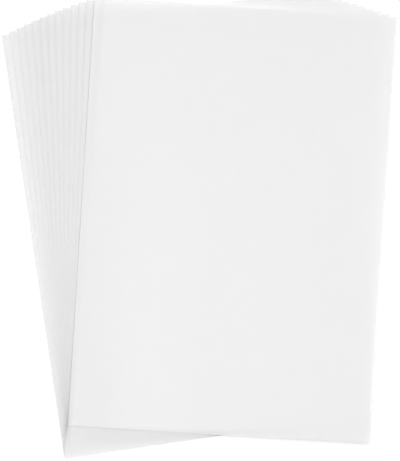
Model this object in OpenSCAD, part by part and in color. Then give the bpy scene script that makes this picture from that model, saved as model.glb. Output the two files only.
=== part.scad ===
// A pack of translucent vellum paper, fanned out flat on a table.
// Every sheet is the same plain rectangle. Each one is turned a little further than the sheet
// above it, all about one point just below the middle of their bottom edges.

/* [Sheet] */
// Width of a sheet (A4)
sheet_w = 210; // [50:1:600]
// Length of a sheet (A4)
sheet_l = 297; // [70:1:900]
// Thickness of a sheet
sheet_t = 0.1; // [0.05:0.01:0.5]

/* [Fan] */
// Number of sheets in the pack
sheet_count = 13; // [2:1:40]
// Clockwise turn of the top sheet, in degrees
top_turn = 3.6; // [-20:0.1:20]
// Angle from each sheet to the one above it, in degrees
fan_step = 1; // [0.1:0.1:4]
// From a sheet's left edge to the point that the fan turns about
pivot_in = 111; // [-100:1:600]
// From a sheet's bottom edge down to the point that the fan turns about
pivot_drop = 17; // [-300:1:300]

/* [Hidden] */
// sheet_01 lies at the bottom, and the last sheet on top

// Anticlockwise turn of sheet i
function turn(i) = (sheet_count - i) * fan_step - top_turn;

// A point of the sheet after a turn, measured from the fan's point
function turned(point, angle) = [
    point.x * cos(angle) - point.y * sin(angle),
    point.x * sin(angle) + point.y * cos(angle)
];

// The four corners of an unturned sheet, measured from the fan's point
sheet_corners = [
    for (x = [0, sheet_w], y = [0, sheet_l]) [x - pivot_in, y + pivot_drop]
];

// Every corner in the fan, and the middle of the ground that the fan covers
fan_corners = [
    for (i = [1 : sheet_count], point = sheet_corners) turned(point, turn(i))
];
fan_x = [for (point = fan_corners) point.x];
fan_y = [for (point = fan_corners) point.y];
fan_middle = [(min(fan_x) + max(fan_x)) / 2, (min(fan_y) + max(fan_y)) / 2];

// Sheet i in its place in the fan, resting face to face on the sheet below
module sheet(i) {
    color("whitesmoke", 0.6)
        translate([-fan_middle.x, -fan_middle.y, (i - 1) * sheet_t])
            rotate(turn(i))
                translate([-pivot_in, pivot_drop, 0])
                    cube([sheet_w, sheet_l, sheet_t]);
}

for (i = [1 : sheet_count])
    sheet(i);
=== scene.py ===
# A pack of translucent vellum paper, fanned out flat on a pale table and seen from straight above.
import math

import bmesh
import bpy
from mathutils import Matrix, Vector


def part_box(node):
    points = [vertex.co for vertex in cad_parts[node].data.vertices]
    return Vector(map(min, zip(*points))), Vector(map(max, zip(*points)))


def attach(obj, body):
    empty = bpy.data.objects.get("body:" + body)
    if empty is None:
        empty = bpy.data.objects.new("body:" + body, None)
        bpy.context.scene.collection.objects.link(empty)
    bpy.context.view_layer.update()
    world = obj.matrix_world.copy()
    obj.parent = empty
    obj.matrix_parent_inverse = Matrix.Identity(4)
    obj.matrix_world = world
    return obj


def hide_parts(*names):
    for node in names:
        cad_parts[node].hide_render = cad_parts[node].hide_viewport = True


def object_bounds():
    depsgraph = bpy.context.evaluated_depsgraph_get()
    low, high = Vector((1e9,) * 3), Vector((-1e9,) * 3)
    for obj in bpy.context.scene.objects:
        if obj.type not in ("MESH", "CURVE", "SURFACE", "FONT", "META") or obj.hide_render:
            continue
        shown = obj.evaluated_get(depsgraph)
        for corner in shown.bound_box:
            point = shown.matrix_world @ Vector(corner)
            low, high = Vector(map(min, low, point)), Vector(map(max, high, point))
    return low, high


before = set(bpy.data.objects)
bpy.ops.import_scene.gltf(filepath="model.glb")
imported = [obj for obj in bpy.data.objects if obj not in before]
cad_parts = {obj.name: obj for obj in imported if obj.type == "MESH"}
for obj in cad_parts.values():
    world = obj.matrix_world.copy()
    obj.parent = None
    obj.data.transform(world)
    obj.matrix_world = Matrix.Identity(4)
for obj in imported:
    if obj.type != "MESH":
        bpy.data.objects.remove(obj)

MM = 0.001
CAD_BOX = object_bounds()

# The photograph's frame, and how many of its pixels one millimetre takes
PHOTO_HIGH = 461
PX_PER_MM = 1.442
# From the middle of the pack's box to the middle of the photograph
AIM = Vector((0.3, -3.8)) * MM

# A film of air lies under each sheet, and a deeper pocket of it that is fullest at the sheet's head
AIR_FILM = 0.02 * MM
AIR_POCKET = 0.355 * MM
# A pocket keeps this margin from the left edge at the head, and opens over these reaches
HEAD_MARGIN = 1.4 * MM
FOOT_REACH, HEAD_REACH = 4 * MM, 6.4 * MM
# The share of the pocket that is left at the foot, and how the share grows from there to the head
FOOT_POCKET = 0.25
POCKET_GROWTH = 1.5
# Inwards from the left edge, the foot's pocket doubles over this distance
FOOT_DEEPENS = 40 * MM
# To the left of the place where the sheets' feet cross, the foot's effects grow over this distance
FOOT_FADE = 70 * MM
# The lowest sheets are pressed flatter, up to this number of them
SETTLED_SHEETS = 4
# How far past the edge of a sheet the ones above it come down
DRAPE_REACH = 44 * MM
# How much higher the top sheet's edges stand
TOP_SIDE_LIFT = 0.13 * MM
TOP_FOOT_LIFT = 0.28 * MM
LIFT_REACH = 6 * MM
# How much thinner the lower sheets are at their left and bottom edges, where the cut pressed them
EDGE_DIP = 0.055 * MM
EDGE_REACH = 2 * MM
# The slow waves that the whole pack lies in
RIPPLE = 0.10 * MM
RIPPLE_LENGTH = 170 * MM
RIPPLE_PHASE = 0.6
RIPPLE_SLANT = 0.4

# How finely a sheet is divided, and how much closer its lines lie at its edges
LINES_ACROSS = 64
LINES_ALONG = 80
CROWDING = 0.75

# From each sheet to the next its noise moves on by this, so that no two sheets have the same clouds
NOISE_STEP = 0.31, 0.17


def ease(t):
    """0 up to t = 0, 1 from t = 1, and a smooth rise between them."""
    t = min(max(t, 0), 1)
    return t * t * (3 - 2 * t)


def crowd(t):
    """Takes evenly spaced 0 to 1 to places that lie closer together near both ends."""
    return t - CROWDING * math.sin(math.tau * t) / math.tau


# Sheets

class Sheet:
    """One sheet of the fan: its corner and its two directions on the ground, as its solid has them."""

    def __init__(self, number, node):
        self.number = number
        self.node = node
        points = [v.co.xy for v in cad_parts[node].data.vertices]
        self.corner = min(points, key=lambda p: p.x + p.y)
        across = max(points, key=lambda p: p.x - p.y) - self.corner
        along = min(points, key=lambda p: p.x - p.y) - self.corner
        self.width, self.length = across.length, along.length
        self.across, self.along = across.normalized(), along.normalized()
        low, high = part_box(node)
        self.thickness = high.z - low.z

    def own(self, point):
        """How far a point on the ground lies from the sheet's left edge and from its bottom edge."""
        away = point - self.corner
        return away.dot(self.across), away.dot(self.along)

    def ground(self, u, v):
        """The point on the ground at u from the sheet's left edge and v from its bottom edge."""
        return self.corner + self.across * u + self.along * v

    def support(self, point):
        """The share of its thickness by which the sheet holds up what passes over a point."""
        u, v = self.own(point)
        outside = math.hypot(max(-u, u - self.width, 0), max(-v, v - self.length, 0))
        return 1 - ease(outside / DRAPE_REACH)

    def pocket(self, point):
        """The height of the air pocket under the sheet over a point, with none at its edges but the head."""
        u, v = self.own(point)
        across, along = (min(max(share, 0), 1) for share in (u / self.width, v / self.length))
        reach = FOOT_REACH + (HEAD_REACH - FOOT_REACH) * along
        opened = ease((u - HEAD_MARGIN * along) / reach) * ease(v / FOOT_REACH)
        settled = min(self.number / SETTLED_SHEETS, 1)
        foot = FOOT_POCKET * (1 + foot_zone(point) * ease(u / FOOT_DEEPENS))
        filled = foot + (1 - foot) * along**POCKET_GROWTH
        return AIR_POCKET * opened * settled * filled * (1 - across)


def curl(distance, reach):
    """1 at a sheet's edge, and 0 from the reach inwards."""
    return max(1 - distance / reach, 0) ** 2


def ripple(point):
    """The slow waves that the whole pack lies in, from 0 to 1."""
    across = math.sin(math.tau * point.x / RIPPLE_LENGTH + RIPPLE_PHASE)
    slanting = math.sin(math.tau * (point.y + RIPPLE_SLANT * point.x) / RIPPLE_LENGTH)
    return 0.5 + 0.25 * across + 0.25 * slanting


def foot_zone(point):
    """1 on the left, where a sheet's foot lies on the one below, and 0 from where their feet cross."""
    return ease((crossing_x - point.x) / FOOT_FADE)


def height(sheet, point):
    """The height of a sheet's upper face over a point on the ground."""
    u, v = sheet.own(point)
    lower = sheets[: sheet.number]
    held = 1 + sum(below.support(point) for below in lower)
    air = sum(below.support(point) * below.pocket(point) for below in lower[1:])
    if lower:
        air += sheet.pocket(point)
    lift = 0
    if sheet is sheets[-1]:
        lift += TOP_SIDE_LIFT * curl(u, LIFT_REACH)
        lift += TOP_FOOT_LIFT * curl(v, LIFT_REACH) * foot_zone(point)
    return sheet.thickness * held + air + lift + RIPPLE * ripple(point)


def pressed(sheet, point):
    """How far the cut has pressed down the upper face at a lower sheet's left and bottom edges."""
    if sheet is sheets[-1]:
        return 0
    return EDGE_DIP * curl(min(sheet.own(point)), EDGE_REACH)


def vellum_sheet(sheet):
    """A sheet as a thin closed slab that follows its heights, with its own measures as its UV map."""
    bm = bmesh.new()
    bmesh.ops.create_grid(bm, x_segments=LINES_ACROSS, y_segments=LINES_ALONG, size=0.5)
    for vertex in bm.verts:
        u = sheet.width * crowd(vertex.co.x + 0.5)
        v = sheet.length * crowd(vertex.co.y + 0.5)
        point = sheet.ground(u, v)
        vertex.co = (*point, height(sheet, point))
    upper, upper_points = bm.faces[:], bm.verts[:]
    lower = bmesh.ops.extrude_face_region(bm, geom=upper, use_keep_orig=True)["geom"]
    under = [part for part in lower if isinstance(part, bmesh.types.BMVert)]
    bmesh.ops.translate(bm, verts=under, vec=(0, 0, AIR_FILM - sheet.thickness))
    for vertex in upper_points:
        vertex.co.z -= pressed(sheet, vertex.co.xy)
    bmesh.ops.recalc_face_normals(bm, faces=bm.faces)
    own_measures = bm.loops.layers.uv.new("own")
    moved = [sheet.number * step for step in NOISE_STEP]
    for face in bm.faces:
        # A face that is more level than upright is smooth paper, and the rest are the cut edge
        face.smooth = abs(face.normal.z) > 0.5
        face.material_index = 0 if face.smooth else 1
        for loop in face.loops:
            u, v = sheet.own(loop.vert.co.xy)
            loop[own_measures].uv = (u + moved[0], v + moved[1])
    for edge in bm.edges:
        edge.smooth = all(face.smooth for face in edge.link_faces)
    mesh = bpy.data.meshes.new(f"vellum_{sheet.number + 1:02d}")
    bm.to_mesh(mesh)
    bm.free()
    piece = bpy.data.objects.new(mesh.name, mesh)
    bpy.context.scene.collection.objects.link(piece)
    for finish in (vellum_finish, cut_edge_finish):
        mesh.materials.append(finish)
    return piece


# Finishes

class Number:
    """A number that varies over a surface, so that shader maths reads as plain expressions."""

    def __init__(self, finish, socket):
        self.finish = finish
        self.socket = socket

    def maths(self, operation, first, second):
        settings, sockets = {"operation": operation}, {0: first, 1: second}
        made = self.finish.node("ShaderNodeMath", settings, sockets)
        return Number(self.finish, made.outputs[0])

    def __add__(self, other):
        return self.maths("ADD", self, other)

    def __sub__(self, other):
        return self.maths("SUBTRACT", self, other)

    def __mul__(self, other):
        return self.maths("MULTIPLY", self, other)

    __radd__ = __add__
    __rmul__ = __mul__

    def __rsub__(self, other):
        return self.maths("SUBTRACT", other, self)


class Finish:
    """A material under construction."""

    def __init__(self, name):
        self.material = bpy.data.materials.new(name)
        self.material.use_nodes = True
        self.tree = self.material.node_tree
        self.tree.nodes.clear()

    def node(self, kind, settings=None, sockets=None):
        """Adds a node, sets it up, and gives its sockets their values or links."""
        made = self.tree.nodes.new(kind)
        for name, value in (settings or {}).items():
            setattr(made, name, value)
        for name, value in (sockets or {}).items():
            if isinstance(value, Number):
                value = value.socket
            if isinstance(value, bpy.types.NodeSocket):
                self.tree.links.new(value, made.inputs[name])
            else:
                made.inputs[name].default_value = value
        return made

    def noise(self, stretch, scale, detail):
        """Cloudy noise on the sheet's own measures. The scale is the number of features to a metre."""
        place = self.node("ShaderNodeUVMap", {"uv_map": "own"}).outputs["UV"]
        stretched = self.node("ShaderNodeMapping", {}, {"Vector": place, "Scale": stretch})
        sockets = {"Vector": stretched.outputs[0], "Scale": scale, "Detail": detail}
        return Number(self, self.node("ShaderNodeTexNoise", {}, sockets).outputs["Fac"])

    def clamped(self, number):
        """The number, held between 0 and 1."""
        made = self.node("ShaderNodeClamp", {}, {"Value": number})
        return Number(self, made.outputs[0])

    def blend(self, share, first, second):
        """A colour between two, by a number from 0 to 1."""
        sockets = {0: share, 6: (*first, 1), 7: (*second, 1)}
        return self.node("ShaderNodeMix", {"data_type": "RGBA"}, sockets).outputs[2]

    def surface(self, shader):
        """Makes the shader the material's surface, and returns the material."""
        self.node("ShaderNodeOutputMaterial", {}, {"Surface": shader.outputs[0]})
        return self.material


VELLUM_THIN = (0.993, 0.993, 0.993)
VELLUM_DENSE = (0.984, 0.984, 0.984)
# The share of the light that one face of the paper stops. A sheet has two faces.
VELLUM_SEEN = 0.58
EDGE_SEEN = 0.55


def make_vellum():
    """Translucent paper: faint clouds where its fibres lie closer, a matt face and a very fine tooth."""
    finish = Finish("vellum")
    clouds = finish.noise(stretch=(1, 1, 1), scale=95, detail=2)
    fibres = finish.noise(stretch=(1, 0.2, 1), scale=2400, detail=1)
    bump = finish.node("ShaderNodeBump", {}, {
        "Strength": 0.3,
        "Distance": 0.003 * MM,
        "Height": fibres,
    })
    return finish.surface(finish.node("ShaderNodeBsdfPrincipled", {}, {
        "Base Color": finish.blend(clouds, VELLUM_THIN, VELLUM_DENSE),
        "Roughness": 0.70 + clouds * 0.10,
        "IOR": 1.47,
        "Specular IOR Level": 0.12,
        "Alpha": VELLUM_SEEN,
        "Normal": bump.outputs[0],
    }))


def make_cut_edge():
    """The sheets' guillotined rim, where the broken fibres are whiter and less clear."""
    finish = Finish("vellum_cut_edge")
    grain = finish.noise(stretch=(1, 1, 1), scale=3000, detail=2)
    return finish.surface(finish.node("ShaderNodeBsdfPrincipled", {}, {
        "Base Color": finish.blend(grain, VELLUM_THIN, VELLUM_DENSE),
        "Roughness": 0.75,
        "Specular IOR Level": 0.15,
        "Alpha": EDGE_SEEN,
    }))


vellum_finish = make_vellum()
cut_edge_finish = make_cut_edge()

# The pack, from the bottom sheet up

sheets = [Sheet(number, node) for number, node in enumerate(sorted(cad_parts))]
# The sheets' feet cross near the middle of the bottom one's foot
crossing_x = sheets[0].ground(sheets[0].width / 2, 0).x

for sheet in sheets:
    piece = vellum_sheet(sheet)
    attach(piece, "root")
    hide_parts(sheet.node)

# Table, light and camera

TABLE_HALF = 3.0
TABLE_TONE = (0.93, 0.93, 0.93)
# Shares of plain white in what the camera sees: near the pack the rest is the lit matt table with
# its shadows, and between these distances from the middle the table turns wholly white
WHITE_SHARE = 0.65
WHITE_STRENGTH = 1.07
SHADOWS_FADE = 0.3, 0.9


def make_table_finish():
    """A pale matt table that shows as white with a pale shadow, but not through the paper."""
    finish = Finish("table")
    rays = finish.node("ShaderNodeLightPath")
    camera_ray, glossy_ray, transmission_ray, faces_crossed = (
        Number(finish, rays.outputs[name])
        for name in ("Is Camera Ray", "Is Glossy Ray", "Is Transmission Ray", "Transparent Depth")
    )
    direct = camera_ray * finish.clamped(1 - faces_crossed)
    seen = direct + glossy_ray + transmission_ray
    place = finish.node("ShaderNodeTexCoord").outputs["Object"]
    reach = finish.node("ShaderNodeVectorMath", {"operation": "LENGTH"}, {0: place})
    away = Number(finish, reach.outputs["Value"])
    near, far = SHADOWS_FADE
    faded = finish.clamped((away - near) * (1 / (far - near)))
    matt = finish.node("ShaderNodeBsdfDiffuse", {}, {"Color": (*TABLE_TONE, 1)})
    white = finish.node("ShaderNodeEmission", {}, {"Strength": WHITE_STRENGTH})
    return finish.surface(finish.node("ShaderNodeMixShader", {}, {
        0: finish.clamped(seen) * (WHITE_SHARE + (1 - WHITE_SHARE) * faded),
        1: matt.outputs[0],
        2: white.outputs[0],
    }))


def make_table():
    """A square of table under the pack."""
    bm = bmesh.new()
    bmesh.ops.create_grid(bm, x_segments=1, y_segments=1, size=TABLE_HALF)
    mesh = bpy.data.meshes.new("table")
    bm.to_mesh(mesh)
    bm.free()
    mesh.materials.append(make_table_finish())
    table = bpy.data.objects.new("table", mesh)
    bpy.context.scene.collection.objects.link(table)


def add_light(name, kind, settings, place, target=(0, 0, 0)):
    """A lamp at a place, turned to a target."""
    data = bpy.data.lights.new(name, kind)
    for key, value in settings.items():
        setattr(data, key, value)
    lamp = bpy.data.objects.new(name, data)
    lamp.location = place
    lamp.rotation_mode = "QUATERNION"
    lamp.rotation_quaternion = (Vector(target) - Vector(place)).to_track_quat("-Z", "Y")
    bpy.context.scene.collection.objects.link(lamp)


def from_above(azimuth, elevation):
    """The direction towards a lamp, with azimuth 0 at +X and turning towards +Y, in degrees."""
    a, e = math.radians(azimuth), math.radians(elevation)
    return Vector((math.cos(a) * math.cos(e), math.sin(a) * math.cos(e), math.sin(e)))


# A level surface in the open gets pi watts a square metre from the lamps and the room together
KEY_SHARE = 0.52
OVERHEAD_SHARE = 0.308
ROOM_SHARE = 0.19
KEY_AZIMUTH, KEY_ELEVATION, KEY_SPREAD = 30, 31, 26
# The overhead lamp hangs straight above this place, a little to the left of and below the middle
OVERHEAD_PLACE = -0.03, -0.06
OVERHEAD_HIGH = 0.85
OVERHEAD_SIDE = 0.4


def light_the_pack():
    """A low soft key from the right, a square lamp overhead, and a dim white room."""
    key_strength = KEY_SHARE * math.pi / math.sin(math.radians(KEY_ELEVATION))
    add_light("key", "SUN", {"energy": key_strength, "angle": math.radians(KEY_SPREAD)},
              from_above(KEY_AZIMUTH, KEY_ELEVATION))
    overhead_power = OVERHEAD_SHARE * math.pi * math.pi * OVERHEAD_HIGH**2
    add_light("overhead", "AREA", {"energy": overhead_power, "shape": "SQUARE", "size": OVERHEAD_SIDE},
              (*OVERHEAD_PLACE, OVERHEAD_HIGH), (*OVERHEAD_PLACE, 0))
    world = bpy.data.worlds.new("room")
    world.use_nodes = True
    tree = world.node_tree
    background = tree.nodes["Background"]
    rays = tree.nodes.new("ShaderNodeLightPath")
    strength = tree.nodes.new("ShaderNodeMix")
    strength.inputs[2].default_value = ROOM_SHARE
    strength.inputs[3].default_value = 1
    tree.links.new(rays.outputs["Is Camera Ray"], strength.inputs[0])
    tree.links.new(strength.outputs[0], background.inputs["Strength"])
    background.inputs["Color"].default_value = (1, 1, 1, 1)
    bpy.context.scene.world = world


LENS = 100
SENSOR = 36


def point_the_camera():
    """Straight down on the pack, at the photograph's scale."""
    data = bpy.data.cameras.new("camera")
    data.lens = LENS
    data.sensor_width = SENSOR
    camera = bpy.data.objects.new("camera", data)
    low, high = CAD_BOX
    aim = ((low + high) / 2).xy + AIM
    framed_high = PHOTO_HIGH / PX_PER_MM * MM
    camera.location = (*aim, high.z + framed_high * LENS / SENSOR)
    bpy.context.scene.collection.objects.link(camera)
    bpy.context.scene.camera = camera


make_table()
light_the_pack()
point_the_camera()
scene = bpy.context.scene
scene.view_settings.view_transform = "Standard"
# Light crosses several sheets, each with two faces, and scatters to and fro between them
SCATTERINGS = 24
FACES_CROSSED = 32
scene.cycles.max_bounces = SCATTERINGS
scene.cycles.diffuse_bounces = SCATTERINGS
scene.cycles.transparent_max_bounces = FACES_CROSSED
